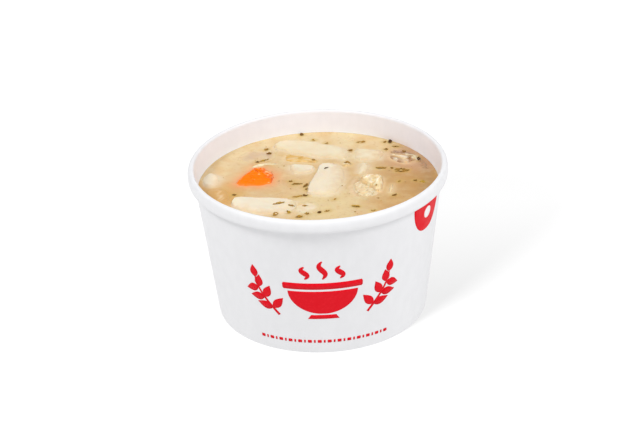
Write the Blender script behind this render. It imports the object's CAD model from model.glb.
"""Chicken noodle soup in its small paper cup: the finish of every surface.

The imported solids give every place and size.  This script turns the cup's board
finely, fills it with broth, carves the noodles, carrot and chicken out of their
plain solids, scatters dried herbs and prints a simple red design on the wall.
"""

import logging
import math
from dataclasses import dataclass
from enum import Enum

import bmesh
import bpy
import numpy as np
from mathutils import Matrix, Vector, noise
from mathutils.bvhtree import BVHTree
from mathutils.kdtree import KDTree


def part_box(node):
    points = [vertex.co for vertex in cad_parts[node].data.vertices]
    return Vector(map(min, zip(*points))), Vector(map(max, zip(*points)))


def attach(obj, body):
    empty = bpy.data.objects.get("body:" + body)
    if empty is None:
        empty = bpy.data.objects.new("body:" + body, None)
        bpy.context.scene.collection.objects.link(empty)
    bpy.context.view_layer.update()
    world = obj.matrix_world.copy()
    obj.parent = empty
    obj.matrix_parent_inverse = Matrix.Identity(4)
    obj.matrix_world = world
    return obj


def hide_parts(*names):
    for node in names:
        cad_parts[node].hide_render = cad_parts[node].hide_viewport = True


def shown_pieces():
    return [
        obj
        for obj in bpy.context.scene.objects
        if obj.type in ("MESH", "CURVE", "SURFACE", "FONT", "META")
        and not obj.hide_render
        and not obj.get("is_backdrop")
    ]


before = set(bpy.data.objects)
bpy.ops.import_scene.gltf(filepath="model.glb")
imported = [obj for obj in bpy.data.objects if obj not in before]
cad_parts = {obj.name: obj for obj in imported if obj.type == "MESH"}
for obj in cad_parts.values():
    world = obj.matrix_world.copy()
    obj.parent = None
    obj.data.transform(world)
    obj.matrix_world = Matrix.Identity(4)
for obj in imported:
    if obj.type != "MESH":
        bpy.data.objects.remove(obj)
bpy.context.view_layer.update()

log = logging.getLogger("soup")

MM = 0.001
BODY = "root"
WELD = 0.001 * MM
PROFILE_ANGLE = math.radians(35)

# ---- The cup's driving sizes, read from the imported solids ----
WALL_LOW, WALL_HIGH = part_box("cup_wall")
RIM_RADIUS = WALL_HIGH.x
CUP_HEIGHT = WALL_HIGH.z
BASE_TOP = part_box("cup_base")[1].z
NECK_RADIUS = RIM_RADIUS - 2.4 * MM
FOOT_RADIUS = RIM_RADIUS - 9.1 * MM
NECK_HEIGHT = CUP_HEIGHT - 5.12 * MM
WALL_BOARD = 0.65 * MM
BASE_BOARD = 0.5 * MM
MENISCUS = 0.45 * MM
BROTH_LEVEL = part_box("soup")[1].z - MENISCUS


def wall_radius(z: float) -> float:
    """Return the outside radius of the tapered wall at height z."""
    return FOOT_RADIUS + (NECK_RADIUS - FOOT_RADIUS) * z / NECK_HEIGHT


def srgb(red: int, green: int, blue: int) -> tuple[float, float, float, float]:
    """Turn a display colour from 0 to 255 into linear light with full alpha."""
    parts = [value / 255 for value in (red, green, blue)]
    linear = [p / 12.92 if p <= 0.04045 else ((p + 0.055) / 1.055) ** 2.4 for p in parts]
    return (*linear, 1.0)


def smooth_step(values: np.ndarray, low: float, high: float) -> np.ndarray:
    """Rise smoothly from 0 where values are at low to 1 where they are at high."""
    share = np.clip((values - low) / (high - low), 0, 1)
    return share * share * (3 - 2 * share)


def relief(points: np.ndarray, sizes: tuple[float, float, float], seed: int) -> np.ndarray:
    """Sample smooth noise from about -1 to 1.

    Args:
        points: the places, one row each, in metres.
        sizes: the width of the noise's features along X, Y and Z, in metres.
        seed: picks another part of the noise.

    Returns:
        One value for each point.
    """
    places = points / np.array(sizes) + seed * 7.31
    return np.array([noise.noise(Vector(place)) for place in places])


# ---------------------------------------------------------------- node trees
class Graph:
    """A node tree that is being built with short calls."""

    def __init__(self, tree: bpy.types.NodeTree) -> None:
        """Keep the tree to add nodes to."""
        self.tree = tree
        self.place: bpy.types.NodeSocket | None = None

    def add(self, kind: str, inputs: dict | None = None, **settings: object) -> bpy.types.Node:
        """Add a node, set its properties, and set or link its inputs.

        Args:
            kind: the node's type.
            inputs: a value or another node's output for each named or numbered input.
            settings: the node's own properties.

        Returns:
            The new node.
        """
        node = self.tree.nodes.new(kind)
        for name, value in settings.items():
            setattr(node, name, value)
        for key, value in (inputs or {}).items():
            if isinstance(value, bpy.types.NodeSocket):
                self.tree.links.new(value, node.inputs[key])
            else:
                node.inputs[key].default_value = value
        return node

    def math(self, operation: str, first: object, second: object = 0.0) -> bpy.types.NodeSocket:
        """Return the result of a number operation."""
        return self.add("ShaderNodeMath", {0: first, 1: second}, operation=operation).outputs[0]

    def vector(self, operation: str, first: object, second: object = (0, 0, 0)) -> bpy.types.NodeSocket:
        """Return the vector result of a vector operation."""
        return self.add("ShaderNodeVectorMath", {0: first, 1: second}, operation=operation).outputs[0]

    def scaled(self, vector: bpy.types.NodeSocket, factor: object) -> bpy.types.NodeSocket:
        """Return a vector times a number."""
        node = self.add("ShaderNodeVectorMath", {0: vector, "Scale": factor}, operation="SCALE")
        return node.outputs[0]

    def parts(self, vector: bpy.types.NodeSocket) -> list[bpy.types.NodeSocket]:
        """Return a vector's X, Y and Z."""
        return list(self.add("ShaderNodeSeparateXYZ", {0: vector}).outputs)

    def joined(self, x: object, y: object, z: object) -> bpy.types.NodeSocket:
        """Return the vector of three numbers."""
        return self.add("ShaderNodeCombineXYZ", {0: x, 1: y, 2: z}).outputs[0]

    def coords(self) -> bpy.types.NodeSocket:
        """Return the place on the object, in metres."""
        if self.place is None:
            self.place = self.add("ShaderNodeTexCoord").outputs["Object"]
        return self.place

    def grain(self, size: float, detail: float = 2.0, stretch: tuple = (1, 1, 1),
              turn: float = 0.0) -> bpy.types.NodeSocket:
        """Return noise from 0 to 1 with features of a size in metres.

        Args:
            size: the width of the features.
            detail: how many finer layers are added.
            stretch: how many times longer the features are along X, Y and Z.
            turn: the angle by which the stretch is turned about Z.
        """
        scale = [1 / (size * times) for times in stretch]
        turned = self.add("ShaderNodeMapping", {0: self.coords(), "Rotation": (0, 0, turn)}, vector_type="TEXTURE")
        shaped = self.vector("MULTIPLY", turned.outputs[0], scale)
        texture = self.add("ShaderNodeTexNoise", {"Vector": shaped, "Scale": 1.0, "Detail": detail})
        return texture.outputs[0]

    def ranged(self, value: object, low: float, high: float, to_low: float = 0.0,
               to_high: float = 1.0) -> bpy.types.NodeSocket:
        """Return a value moved smoothly from one range to another, and held inside it."""
        inputs = {"Value": value, "From Min": low, "From Max": high, "To Min": to_low, "To Max": to_high}
        return self.add("ShaderNodeMapRange", inputs, interpolation_type="SMOOTHSTEP").outputs[0]

    def mix(self, factor: object, first: object, second: object, blend: str = "MIX") -> bpy.types.NodeSocket:
        """Return a mixture of two colours."""
        inputs = {0: factor, 6: first, 7: second}
        return self.add("ShaderNodeMix", inputs, data_type="RGBA", blend_type=blend).outputs[2]

    def attribute(self, name: str) -> bpy.types.NodeSocket:
        """Return a number painted on the mesh."""
        return self.add("ShaderNodeAttribute", attribute_name=name).outputs["Fac"]

    def spot(self, x: float, y: float, radius: float, softness: float = 0.7) -> bpy.types.NodeSocket:
        """Return 1 near a place in the plan, falling smoothly to 0 at a radius, all in metres."""
        across, along, _up = self.parts(self.coords())
        flat = self.joined(across, along, 0.0)
        far = self.add("ShaderNodeVectorMath", {0: flat, 1: (x, y, 0)}, operation="DISTANCE").outputs["Value"]
        return self.ranged(far, radius * (1 - softness), radius, 1.0, 0.0)


class GeometryTree(Graph):
    """A Geometry Nodes tree with named inputs, which ends in real, finished geometry."""

    def __init__(self, name: str) -> None:
        """Start a tree that takes one geometry."""
        super().__init__(bpy.data.node_groups.new(name, "GeometryNodeTree"))
        self.tree.interface.new_socket("Geometry", in_out="OUTPUT", socket_type="NodeSocketGeometry")
        self.tree.interface.new_socket("Geometry", in_out="INPUT", socket_type="NodeSocketGeometry")
        self.group = self.tree.nodes.new("NodeGroupInput")

    def named(self, name: str, kind: str) -> bpy.types.NodeSocket:
        """Add a named input of a socket type and return it."""
        self.tree.interface.new_socket(name, in_out="INPUT", socket_type=f"NodeSocket{kind}")
        return self.group.outputs[name]

    def own(self) -> bpy.types.NodeSocket:
        """Return the geometry that comes in."""
        return self.group.outputs["Geometry"]

    def field(self, name: str, kind: str = "FLOAT") -> bpy.types.NodeSocket:
        """Return an attribute of the geometry by its name."""
        return self.add("GeometryNodeInputNamedAttribute", {"Name": name}, data_type=kind).outputs[0]

    def end(self, shape: bpy.types.NodeSocket, finish: bpy.types.NodeSocket) -> bpy.types.NodeTree:
        """Realize the instances, set the material and close the tree."""
        real = self.add("GeometryNodeRealizeInstances", {0: shape}).outputs[0]
        smooth = self.add("GeometryNodeSetShadeSmooth", {"Geometry": real}).outputs[0]
        dressed = self.add("GeometryNodeSetMaterial", {"Geometry": smooth, "Material": finish}).outputs[0]
        self.add("NodeGroupOutput", {0: dressed})
        return self.tree


def turned_tree() -> bpy.types.NodeTree:
    """Build the tree that turns a section round the cup's axis.

    The incoming vertices are the section, with X as radius and Z as height, and
    the ring object's vertices are the stations, with X as the angle and Y as the
    height of the lapped layer there.  The section's "outer" says where it laps.
    """
    tree = GeometryTree("turned section")
    ring = tree.named("Ring", "Object")
    step = tree.named("Lap Step", "Float")
    finish = tree.named("Finish", "Material")
    stations = tree.add("GeometryNodeObjectInfo", {"Object": ring}).outputs["Geometry"]
    counts = [
        tree.add("GeometryNodeAttributeDomainSize", {"Geometry": shape}, component="MESH").outputs["Point Count"]
        for shape in (stations, tree.own())
    ]
    grid = tree.add("GeometryNodeMeshGrid", {"Vertices X": counts[0], "Vertices Y": counts[1]})
    index = tree.add("GeometryNodeInputIndex").outputs[0]
    column = tree.math("FLOOR", tree.math("DIVIDE", index, counts[1]))
    row = tree.math("MODULO", index, counts[1])

    def sampled(shape: bpy.types.NodeSocket, value: bpy.types.NodeSocket, at: bpy.types.NodeSocket,
                kind: str) -> bpy.types.NodeSocket:
        """Return a value read from a shape's vertex."""
        inputs = {"Geometry": shape, "Value": value, "Index": at}
        return tree.add("GeometryNodeSampleIndex", inputs, data_type=kind).outputs[0]

    place = tree.add("GeometryNodeInputPosition").outputs[0]
    radius, _across, height = tree.parts(sampled(tree.own(), place, row, "FLOAT_VECTOR"))
    angle, lap, _up = tree.parts(sampled(stations, place, column, "FLOAT_VECTOR"))
    outer = sampled(tree.own(), tree.field("outer"), row, "FLOAT")
    proud = tree.math("MULTIPLY", tree.math("MULTIPLY", lap, step), outer)
    reach = tree.math("ADD", radius, proud)
    x = tree.math("MULTIPLY", reach, tree.math("COSINE", angle))
    y = tree.math("MULTIPLY", reach, tree.math("SINE", angle))
    inputs = {"Geometry": grid.outputs["Mesh"], "Position": tree.joined(x, y, height)}
    shape = tree.add("GeometryNodeSetPosition", inputs).outputs[0]
    for name in ("inside", "wet", "raw"):
        value = sampled(tree.own(), tree.field(name), row, "FLOAT")
        inputs = {"Geometry": shape, "Name": name, "Value": value}
        shape = tree.add("GeometryNodeStoreNamedAttribute", inputs, data_type="FLOAT").outputs[0]
    welded = tree.add("GeometryNodeMergeByDistance", {"Geometry": shape, "Distance": WELD}).outputs[0]
    return tree.end(welded, finish)


def wrapped(tree: GeometryTree, flat: bpy.types.NodeSocket, foot: bpy.types.NodeSocket,
            slope: bpy.types.NodeSocket, middle: bpy.types.NodeSocket) -> bpy.types.NodeSocket:
    """Wrap flat artwork onto the tapered wall.

    Args:
        tree: the tree to add to.
        flat: artwork with X along the wall, Y up it and Z outwards, in metres.
        foot: the wall's radius at the floor.
        slope: how much the radius grows for each metre of height.
        middle: the radius at which lengths along X are true.
    """
    along, up, out = tree.parts(tree.add("GeometryNodeInputPosition").outputs[0])
    angle = tree.math("DIVIDE", along, middle)
    radius = tree.math("ADD", tree.math("ADD", foot, tree.math("MULTIPLY", slope, up)), out)
    x = tree.math("MULTIPLY", radius, tree.math("SINE", angle))
    y = tree.math("MULTIPLY", radius, tree.math("MULTIPLY", tree.math("COSINE", angle), -1.0))
    inputs = {"Geometry": flat, "Position": tree.joined(x, y, up)}
    return tree.add("GeometryNodeSetPosition", inputs).outputs[0]


def print_tree() -> bpy.types.NodeTree:
    """Build the tree that repeats a flat shape along a row and wraps it onto the wall."""
    tree = GeometryTree("printed row")
    count = tree.named("Count", "Int")
    pitch = tree.named("Pitch", "Float")
    short = tree.named("Every Second", "Float")
    sizes = [tree.named(name, "Float") for name in ("Foot Radius", "Slope", "Middle Radius")]
    finish = tree.named("Finish", "Material")
    half = tree.math("MULTIPLY", tree.math("SUBTRACT", count, 1.0), tree.math("MULTIPLY", pitch, -0.5))
    inputs = {"Count": count, "Start Location": tree.joined(half, 0.0, 0.0), "Offset": tree.joined(pitch, 0.0, 0.0)}
    spots = tree.add("GeometryNodeMeshLine", inputs).outputs[0]
    index = tree.add("GeometryNodeInputIndex").outputs[0]
    odd = tree.math("MODULO", index, 2.0)
    loss = tree.math("MULTIPLY", odd, tree.math("SUBTRACT", 1.0, short))
    length = tree.math("SUBTRACT", 1.0, loss)
    inputs = {"Points": spots, "Instance": tree.own(), "Scale": tree.joined(length, 1.0, 1.0)}
    row = tree.add("GeometryNodeInstanceOnPoints", inputs).outputs[0]
    real = tree.add("GeometryNodeRealizeInstances", {0: row}).outputs[0]
    return tree.end(wrapped(tree, real, *sizes), finish)


def flake_tree() -> bpy.types.NodeTree:
    """Build the tree that lays a thin, ragged, curled flake on each incoming point.

    A point's "size" holds the flake's length, width and cupping, and its "turn"
    the angles that lay it on the surface.
    """
    tree = GeometryTree("scattered flakes")
    thickness = tree.named("Thickness", "Float")
    ragged = tree.named("Raggedness", "Float")
    tear = tree.named("Tear Size", "Float")
    finish = tree.named("Finish", "Material")
    inputs = {"Vertices": 10, "Radius": 0.5}
    blank = tree.add("GeometryNodeMeshCircle", inputs, fill_type="TRIANGLE_FAN").outputs[0]
    blank = tree.add("GeometryNodeSubdivideMesh", {"Mesh": blank, "Level": 1}).outputs[0]
    x, y, _z = tree.parts(tree.add("GeometryNodeInputPosition").outputs[0])
    cup = tree.math("ADD", tree.math("MULTIPLY", x, x), tree.math("MULTIPLY", tree.math("MULTIPLY", y, y), 2.0))
    point = tree.math("SUBTRACT", 1.0, tree.math("MULTIPLY", tree.math("MULTIPLY", x, x), 2.4))
    inputs = {"Geometry": blank, "Position": tree.joined(x, tree.math("MULTIPLY", y, point), cup)}
    blank = tree.add("GeometryNodeSetPosition", inputs).outputs[0]
    inputs = {
        "Points": tree.own(), "Instance": blank,
        "Rotation": tree.field("turn", "FLOAT_VECTOR"), "Scale": tree.field("size", "FLOAT_VECTOR"),
    }
    laid = tree.add("GeometryNodeInstanceOnPoints", inputs).outputs[0]
    real = tree.add("GeometryNodeRealizeInstances", {0: laid}).outputs[0]
    inputs = {"Vector": tree.scaled(tree.add("GeometryNodeInputPosition").outputs[0], tree.math("DIVIDE", 1.0, tear))}
    wander = tree.add("ShaderNodeTexNoise", inputs | {"Scale": 1.0, "Detail": 1.0}).outputs[1]
    shift = tree.scaled(tree.vector("SUBTRACT", wander, (0.5, 0.5, 0.5)), ragged)
    torn = tree.add("GeometryNodeSetPosition", {"Geometry": real, "Offset": shift}).outputs[0]
    inputs = {"Mesh": torn, "Offset Scale": thickness, "Individual": False}
    upper = tree.add("GeometryNodeExtrudeMesh", inputs, mode="FACES").outputs[0]
    under = tree.add("GeometryNodeFlipFaces", {"Mesh": torn}).outputs[0]
    both = tree.add("GeometryNodeJoinGeometry")
    for half in (under, upper):
        tree.tree.links.new(half, both.inputs[0])
    welded = tree.add("GeometryNodeMergeByDistance", {"Geometry": both.outputs[0], "Distance": WELD}).outputs[0]
    return tree.end(welded, finish)


def strand_tree() -> bpy.types.NodeTree:
    """Build the tree that lays tapered meat fibres along the grain on the upper faces of a piece."""
    tree = GeometryTree("meat fibres")
    density = tree.named("Density", "Float")
    length = tree.named("Length", "Float")
    thickness = tree.named("Thickness", "Float")
    level = tree.named("Level", "Float")
    seed = tree.named("Seed", "Int")
    finish = tree.named("Finish", "Material")
    normal = tree.parts(tree.add("GeometryNodeInputNormal").outputs[0])[2]
    height = tree.parts(tree.add("GeometryNodeInputPosition").outputs[0])[2]
    upper = tree.math("MULTIPLY", tree.math("GREATER_THAN", normal, 0.45), tree.math("GREATER_THAN", height, level))
    inputs = {"Mesh": tree.own(), "Selection": upper, "Density": density, "Seed": seed}
    spots = tree.add("GeometryNodeDistributePointsOnFaces", inputs).outputs["Points"]
    ends = {"Start": (-0.5, 0, 0), "Middle": (0.0, 0.12, 0.1), "End": (0.5, 0, 0), "Resolution": 8}
    line = tree.add("GeometryNodeCurveQuadraticBezier", ends).outputs[0]
    along = tree.add("GeometryNodeSplineParameter").outputs["Factor"]
    swell = tree.math("SINE", tree.math("MULTIPLY", along, math.pi))
    radius = tree.math("MULTIPLY_ADD", swell, 0.8)
    radius.node.inputs[2].default_value = 0.2
    line = tree.add("GeometryNodeSetCurveRadius", {"Curve": line, "Radius": radius}).outputs[0]
    round_section = tree.add("GeometryNodeCurvePrimitiveCircle", {"Resolution": 6, "Radius": 1.0}).outputs[0]
    inputs = {"Curve": line, "Profile Curve": round_section, "Fill Caps": True}
    spindle = tree.add("GeometryNodeCurveToMesh", inputs)
    if "Scale" in spindle.inputs:
        tree.tree.links.new(radius, spindle.inputs["Scale"])

    def chance(low: float, high: float, offset: int) -> bpy.types.NodeSocket:
        """Return a seeded random number for each fibre."""
        draw = tree.add("FunctionNodeRandomValue", data_type="FLOAT")
        draw.inputs[2].default_value = low
        draw.inputs[3].default_value = high
        tree.tree.links.new(tree.math("ADD", seed, float(offset)), draw.inputs["Seed"])
        return draw.outputs[1]

    heading = tree.math("ADD", tree.field("grain"), chance(-0.35, 0.35, 1))
    turn = tree.joined(chance(-0.5, 0.5, 2), chance(-0.12, 0.12, 3), heading)
    long = tree.math("MULTIPLY", length, chance(0.5, 1.25, 4))
    thick = tree.math("MULTIPLY", thickness, chance(0.6, 1.3, 5))
    inputs = {
        "Points": spots, "Instance": spindle.outputs[0], "Rotation": turn,
        "Scale": tree.joined(long, thick, thick),
    }
    laid = tree.add("GeometryNodeInstanceOnPoints", inputs).outputs[0]
    return tree.end(laid, finish)


# ------------------------------------------------------------------- meshes
def positions(mesh: bpy.types.Mesh) -> np.ndarray:
    """Return a mesh's vertices, one row each."""
    flat = np.empty(len(mesh.vertices) * 3, np.float32)
    mesh.vertices.foreach_get("co", flat)
    return flat.reshape(-1, 3).astype(float)


def normals(mesh: bpy.types.Mesh) -> np.ndarray:
    """Return the normals of a mesh's vertices, one row each."""
    flat = np.empty(len(mesh.vertices) * 3, np.float32)
    mesh.vertex_normals.foreach_get("vector", flat)
    return flat.reshape(-1, 3).astype(float)


def move_to(mesh: bpy.types.Mesh, places: np.ndarray) -> None:
    """Put a mesh's vertices at new places."""
    mesh.vertices.foreach_set("co", places.astype(np.float32).ravel())
    mesh.update()


def paint(mesh: bpy.types.Mesh, name: str, values: np.ndarray) -> None:
    """Store a number for each vertex under a name that materials read."""
    layer = mesh.attributes.get(name) or mesh.attributes.new(name, "FLOAT", "POINT")
    layer.data.foreach_set("value", np.asarray(values, np.float32))


def outward(mesh: bpy.types.Mesh) -> bpy.types.Mesh:
    """Turn a closed mesh's faces outwards if they point in, and shade it smooth."""
    bm = bmesh.new()
    bm.from_mesh(mesh)
    if bm.calc_volume(signed=True) < 0:
        bmesh.ops.reverse_faces(bm, faces=bm.faces)
    bm.to_mesh(mesh)
    bm.free()
    mesh.shade_smooth()
    return mesh


def mesh_of(name: str, points: list, faces: list) -> bpy.types.Mesh:
    """Make a mesh from points and faces."""
    mesh = bpy.data.meshes.new(name)
    mesh.from_pydata([tuple(point) for point in points], [], faces)
    mesh.update()
    return mesh


def linked(name: str, mesh: bpy.types.Mesh) -> bpy.types.Object:
    """Put a mesh in the scene as an object at the origin."""
    piece = bpy.data.objects.new(name, mesh)
    bpy.context.scene.collection.objects.link(piece)
    return piece


def plain(piece: bpy.types.Object) -> bpy.types.Mesh:
    """Apply an object's modifiers, remove the object and return the mesh that it came to."""
    graph = bpy.context.evaluated_depsgraph_get()
    mesh = bpy.data.meshes.new_from_object(piece.evaluated_get(graph))
    bpy.data.objects.remove(piece, do_unlink=True)
    return mesh


def grown(tree: bpy.types.NodeTree, mesh: bpy.types.Mesh, **values: object) -> bpy.types.Mesh:
    """Run a Geometry Nodes tree on a mesh.

    Args:
        tree: the tree.
        mesh: the geometry that goes in.
        values: the tree's named inputs, with _ for each space.

    Returns:
        The plain mesh that comes out.
    """
    piece = linked(mesh.name, mesh)
    modifier = piece.modifiers.new(tree.name, "NODES")
    modifier.node_group = tree
    wanted = {name.replace("_", " ").lower(): value for name, value in values.items()}
    for item in tree.interface.items_tree:
        if item.in_out == "INPUT" and item.name.lower() in wanted:
            modifier[item.identifier] = wanted[item.name.lower()]
    piece.update_tag()
    return plain(piece)


def fine_copy(node: str, cell: float, softening: int) -> bpy.types.Mesh:
    """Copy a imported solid's mesh with even small cells and softened edges.

    Args:
        node: the solid's node.
        cell: the size of the new cells.
        softening: how many times the surface is smoothed.
    """
    bm = bmesh.new()
    bm.from_mesh(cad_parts[node].data)
    bmesh.ops.remove_doubles(bm, verts=bm.verts, dist=WELD)
    mesh = bpy.data.meshes.new(f"{node}_blank")
    bm.to_mesh(mesh)
    bm.free()
    return evened(mesh, cell, softening)


def evened(mesh: bpy.types.Mesh, cell: float, softening: int) -> bpy.types.Mesh:
    """Rebuild a closed mesh with even small cells and softened edges."""
    piece = linked(mesh.name, mesh)
    remesh = piece.modifiers.new("even cells", "REMESH")
    remesh.mode = "VOXEL"
    remesh.voxel_size = cell
    soft = piece.modifiers.new("softened", "SMOOTH")
    soft.iterations = softening
    return plain(piece)


# ----------------------------------------------------------------- finishes
class Slot(Enum):
    """The record's material slots."""

    PAPER = "cup_paper"
    PRINT = "print"
    BROTH = "broth"
    NOODLE = "noodle"
    CARROT = "carrot"
    CHICKEN = "chicken"
    HERB = "herb"


BROTH_LEFT = srgb(213, 180, 134)
BROTH_RIGHT = srgb(198, 156, 100)
BROTH_BACK = srgb(221, 204, 162)
BROTH_AMBER = srgb(206, 158, 86)
BROTH_DEEP = srgb(182, 137, 80)
BROTH_CREAM = srgb(224, 206, 160)
BROTH_MAUVE = srgb(193, 147, 113)
NOODLE_TONE = srgb(233, 223, 200)


def tint_group() -> bpy.types.NodeTree:
    """Build the group that gives the broth's colour at any place, shared by all that lies in it."""
    group = bpy.data.node_groups.new("broth tint", "ShaderNodeTree")
    group.interface.new_socket("Colour", in_out="OUTPUT", socket_type="NodeSocketColor")
    g = Graph(group)
    x, y, _z = g.parts(g.coords())
    wander = g.math("MULTIPLY", g.math("SUBTRACT", g.grain(14 * MM), 0.5), 22 * MM)
    slant = g.math("ADD", g.math("SUBTRACT", x, g.math("MULTIPLY", y, 0.25)), wander)
    tone = g.mix(g.ranged(slant, 2 * MM, 40 * MM), BROTH_LEFT, BROTH_RIGHT)
    tone = g.mix(g.ranged(y, 8 * MM, 40 * MM, 0.0, 0.6), tone, BROTH_BACK)
    pools = (
        (-38, 14, 18, 0.2, BROTH_CREAM),
        (-39, -7, 16, 0.85, BROTH_AMBER),
        (34, 1, 16, 0.6, BROTH_DEEP),
        (29, -18, 11, 0.25, BROTH_DEEP),
        (3, -18, 21, 0.6, BROTH_CREAM),
        (38, 20, 18, 0.8, BROTH_MAUVE),
    )
    cloud = g.ranged(g.grain(3.5 * MM, 3.0, (1.2, 1, 1)), 0.4, 0.72, 0.0, 0.5)
    tone = g.mix(cloud, tone, BROTH_CREAM)
    amber = g.ranged(g.grain(7 * MM, 2.0, (1.3, 1, 1)), 0.42, 0.72, 0.0, 0.42)
    tone = g.mix(amber, tone, BROTH_AMBER)
    for across, along, reach, strength, colour in pools:
        tone = g.mix(g.math("MULTIPLY", g.spot(across * MM, along * MM, reach * MM), strength), tone, colour)
    flecks = g.ranged(g.grain(1.1 * MM, 2.0), 0.56, 0.72, 0.0, 0.25)
    tone = g.mix(flecks, tone, BROTH_DEEP)
    g.add("NodeGroupOutput", {0: tone})
    return group


@dataclass(frozen=True)
class Finish:
    """A finish: its gloss, wet coat and inner scattering, with a colour and relief of its own."""

    slot: Slot
    roughness: float
    specular: float = 0.5
    coat: float = 0.0
    coat_roughness: float = 0.1
    scatter: float = 0.0
    scatter_depth: float = 1.0 * MM
    scatter_tint: tuple = (1.0, 0.62, 0.32)
    bump: float = 0.1
    bump_depth: float = 0.1 * MM

    def colour(self, g: Graph) -> bpy.types.NodeSocket:
        """Return the base colour."""
        raise NotImplementedError

    def height(self, g: Graph) -> bpy.types.NodeSocket:
        """Return the fine relief, from 0 to 1."""
        return g.grain(0.6 * MM)

    def shine(self, g: Graph) -> bpy.types.NodeSocket:
        """Return the roughness, a little uneven."""
        return g.ranged(g.grain(2.5 * MM), 0.3, 0.7, self.roughness * 0.85, self.roughness * 1.15)

    def material(self) -> bpy.types.Material:
        """Build the material."""
        made = bpy.data.materials.new(type(self).__name__)
        made.use_nodes = True
        g = Graph(made.node_tree)
        shader = made.node_tree.nodes["Principled BSDF"]
        shader.inputs["Specular IOR Level"].default_value = self.specular
        shader.inputs["Coat Weight"].default_value = self.coat
        shader.inputs["Coat Roughness"].default_value = self.coat_roughness
        shader.inputs["Subsurface Weight"].default_value = self.scatter
        shader.inputs["Subsurface Scale"].default_value = self.scatter_depth
        shader.inputs["Subsurface Radius"].default_value = self.scatter_tint
        g.tree.links.new(self.colour(g), shader.inputs["Base Color"])
        g.tree.links.new(self.shine(g), shader.inputs["Roughness"])
        inputs = {"Strength": self.bump, "Distance": self.bump_depth, "Height": self.height(g)}
        g.tree.links.new(g.add("ShaderNodeBump", inputs).outputs[0], shader.inputs["Normal"])
        return made


@dataclass(frozen=True)
class CoatedPaper(Finish):
    """Smooth white board with a faint mottle, warmer on the inside and raw at its cut edges."""

    outside: tuple = srgb(232, 232, 234)
    inside: tuple = srgb(243, 241, 247)
    wet: tuple = srgb(247, 248, 253)
    raw: tuple = srgb(214, 206, 192)
    stain: tuple = srgb(226, 196, 178)

    def colour(self, g: Graph) -> bpy.types.NodeSocket:
        """White, mottled by a hundredth, with the inner, wet and raw tones where painted."""
        tone = g.mix(g.attribute("inside"), self.outside, self.inside)
        tone = g.mix(g.attribute("wet"), tone, self.wet)
        tone = g.mix(g.attribute("raw"), tone, self.raw)
        touched = g.math("MULTIPLY", g.spot(32 * MM, 33 * MM, 13 * MM), g.attribute("wet"))
        tone = g.mix(g.math("MULTIPLY", touched, 0.35), tone, self.stain)
        mottle = g.ranged(g.grain(3.5 * MM, 3.0, (1, 1, 1.6)), 0.3, 0.7, 0.975, 1.0)
        return g.mix(1.0, tone, g.add("ShaderNodeCombineColor", {0: mottle, 1: mottle, 2: mottle}).outputs[0], "MULTIPLY")

    def height(self, g: Graph) -> bpy.types.NodeSocket:
        """Fine fibres that lie round the cup."""
        return g.grain(0.35 * MM, 3.0, (2.2, 2.2, 1.0))


@dataclass(frozen=True)
class RedInk(Finish):
    """Flat red printing ink, with the board's grain just showing through."""

    ink: tuple = srgb(222, 2, 26)
    thin: tuple = srgb(232, 24, 40)

    def colour(self, g: Graph) -> bpy.types.NodeSocket:
        """Red, a little thinner in places."""
        return g.mix(g.ranged(g.grain(0.9 * MM, 3.0), 0.45, 0.75, 0.0, 0.5), self.ink, self.thin)


@dataclass(frozen=True)
class WhiteInk(Finish):
    """The board's white, left clear inside a printed field."""

    tone: tuple = srgb(240, 236, 236)

    def colour(self, g: Graph) -> bpy.types.NodeSocket:
        """White with a faint mottle."""
        return g.mix(g.ranged(g.grain(0.9 * MM, 3.0), 0.45, 0.75, 0.0, 0.3), self.tone, srgb(250, 225, 225))


@dataclass(frozen=True)
class CloudyBroth(Finish):
    """Cloudy golden broth, paler where noodles lie and orange round the carrot."""

    pale: tuple = NOODLE_TONE
    orange: tuple = srgb(240, 150, 92)
    tan: tuple = srgb(230, 203, 160)
    stain: tuple = srgb(200, 166, 84)

    def colour(self, g: Graph) -> bpy.types.NodeSocket:
        """The broth's tint with the halos of what lies in it."""
        tone = g.add("ShaderNodeGroup", node_tree=bpy.data.node_groups["broth tint"]).outputs[0]
        tone = g.mix(g.attribute("near_noodle"), tone, self.pale)
        tone = g.mix(g.attribute("near_chicken"), tone, self.tan)
        tone = g.mix(g.attribute("near_herb"), tone, self.stain)
        return g.mix(g.attribute("near_carrot"), tone, self.orange)

    def height(self, g: Graph) -> bpy.types.NodeSocket:
        """Faint swirls."""
        return g.grain(2.2 * MM, 3.0)


@dataclass(frozen=True)
class Filmed(Finish):
    """Food that broth creeps over, as the painted "film" says."""

    def bare(self, g: Graph) -> bpy.types.NodeSocket:
        """Return the food's own colour."""
        raise NotImplementedError

    def colour(self, g: Graph) -> bpy.types.NodeSocket:
        """The food's own colour under a film of broth."""
        broth = g.add("ShaderNodeGroup", node_tree=bpy.data.node_groups["broth tint"]).outputs[0]
        return g.mix(g.attribute("film"), self.bare(g), broth)


@dataclass(frozen=True)
class BoiledNoodle(Filmed):
    """Boiled egg noodle: pale cream, faintly mottled, with a wet sheen."""

    flesh: tuple = NOODLE_TONE
    warm: tuple = srgb(232, 218, 194)
    dim: tuple = srgb(224, 208, 172)

    def bare(self, g: Graph) -> bpy.types.NodeSocket:
        """Cream that turns warmer and duller in broad soft patches."""
        tone = g.mix(g.ranged(g.grain(9 * MM), 0.35, 0.65), self.flesh, self.warm)
        tone = g.mix(g.ranged(g.grain(3 * MM, 3.0), 0.5, 0.8, 0.0, 0.4), tone, self.dim)
        return g.mix(g.attribute("dim"), tone, self.dim)


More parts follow.
